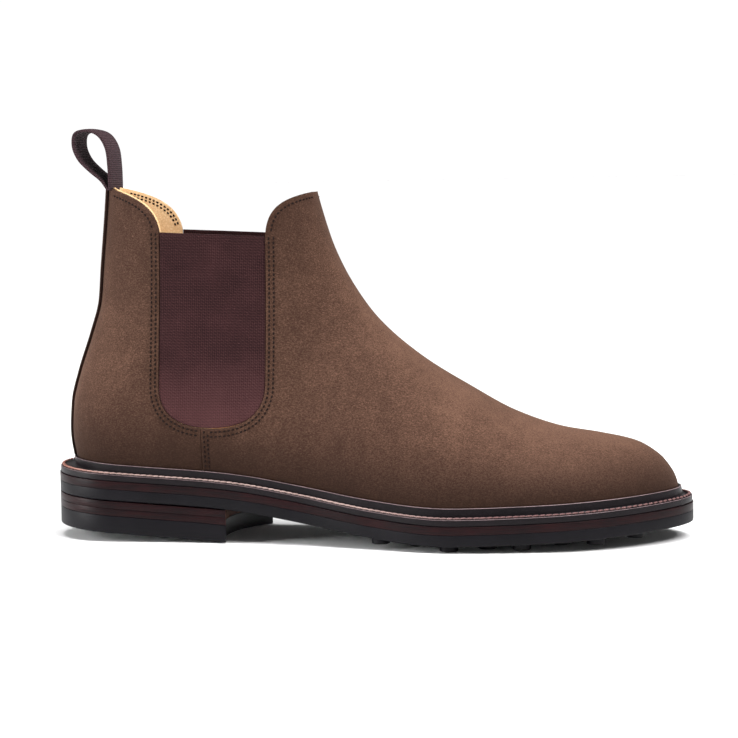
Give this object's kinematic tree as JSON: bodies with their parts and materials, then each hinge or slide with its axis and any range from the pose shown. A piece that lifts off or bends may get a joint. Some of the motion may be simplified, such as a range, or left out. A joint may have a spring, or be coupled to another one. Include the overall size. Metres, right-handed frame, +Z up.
{
  "type": "chelsea boot",
  "caption": "Ankle boot with suede upper, elastic side gores, rear pull loop, welted leather and studded rubber sole, stacked heel.",
  "frame": {"origin": "on the ground under the middle of the sole's length and width", "axes": "+X to the toe, -Y to the outer side of a right foot, +Z up"},
  "size_m": [0.306, 0.1064, 0.1959],
  "materials": {
    "suede": "napped brown suede",
    "suede_dark": "dark brown suede strip",
    "elastic": "ribbed maroon-brown elastic",
    "lining_leather": "smooth tan lining leather",
    "leather_board": "fibrous leather board",
    "canvas_rib": "undyed canvas",
    "foam": "soft foam",
    "cork": "ground cork",
    "steel": "brushed steel",
    "welt_leather": "dark waxed leather",
    "thread": "pale waxed thread",
    "sole_leather": "stained red-brown leather edge",
    "rubber": "satin near-black rubber",
    "ribbon": "woven ribbon"
  },
  "bodies": {
    "boot": {"vamp": "suede", "gore_lateral": "elastic", "gore_medial": "elastic", "vamp_lining": "lining_leather", "sock_liner": "lining_leather", "toe_puff": "leather_board", "heel_counter": "leather_board", "insole": "leather_board", "insole_rib": "canvas_rib", "heel_pad": "foam", "cork_filler": "cork", "shank": "steel", "storm_welt": "welt_leather", "welt_stitching": "thread", "midsole": "sole_leather", "heel_lift_upper": "sole_leather", "heel_lift_lower": "sole_leather", "outsole": "rubber", "heel_top_piece": "rubber", "heel_nail_1": "steel", "heel_nail_2": "steel", "heel_nail_3": "steel", "heel_nail_4": "steel", "heel_nail_5": "steel"},
    "shaft_back": {"back_quarter": "suede", "quarter_lining": "lining_leather", "back_strip": "suede_dark", "back_seam_tape": "lining_leather"},
    "pull_loop": {"pull_loop": "ribbon"}
  },
  "joints": [
    {"name": "topline_stretch", "type": "hinge", "parent": "boot", "child": "shaft_back", "pos_m": [-0.1445, 0, 0.062], "axis": [0, -1, 0], "range_deg": [0, 12], "stiffness_Nm_per_rad": 3, "deforming": ["gore_lateral", "gore_medial", "back_quarter", "quarter_lining", "back_strip"]},
    {"name": "pull_loop_fold", "type": "hinge", "parent": "shaft_back", "child": "pull_loop", "pos_m": [-0.1237, 0.00108, 0.168], "axis": [0, -1, 0], "range_deg": [-45, 30], "stiffness_Nm_per_rad": 0.01, "deforming": ["pull_loop"]}
  ]
}
